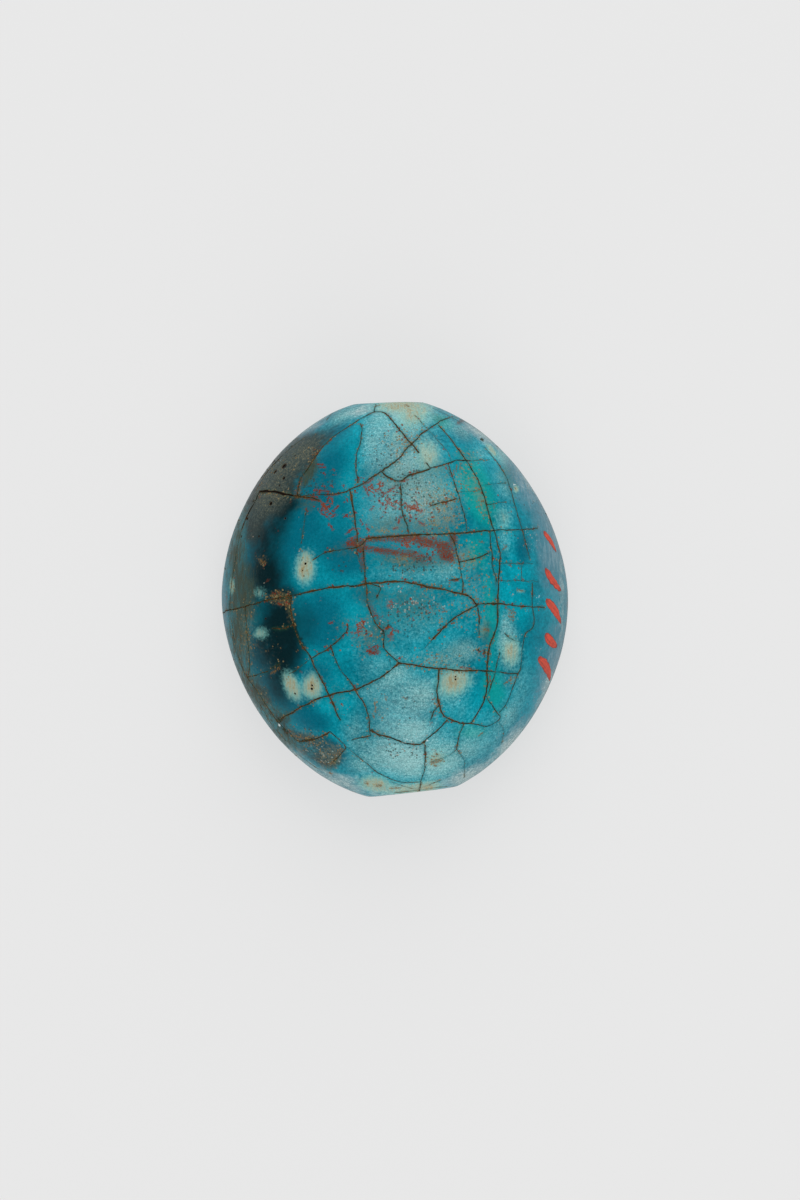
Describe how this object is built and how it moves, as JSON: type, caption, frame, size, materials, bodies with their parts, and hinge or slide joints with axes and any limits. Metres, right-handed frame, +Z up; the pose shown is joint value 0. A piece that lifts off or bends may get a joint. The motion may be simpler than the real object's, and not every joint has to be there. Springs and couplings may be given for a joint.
{
  "type": "cowroid seal",
  "caption": "Oval seal amulet of glazed faience with a domed back, a flat engraved underside and a threading hole from end to end.",
  "frame": {"origin": "middle of the flat underside", "axes": "+Z up out of the dome, +Y along the threading hole and the longest side"},
  "size_m": [0.0254, 0.029, 0.0126],
  "materials": {
    "glaze": "glossy, crazed and worn"
  },
  "bodies": {
    "root": {"seal": "glaze"}
  },
  "joints": []
}
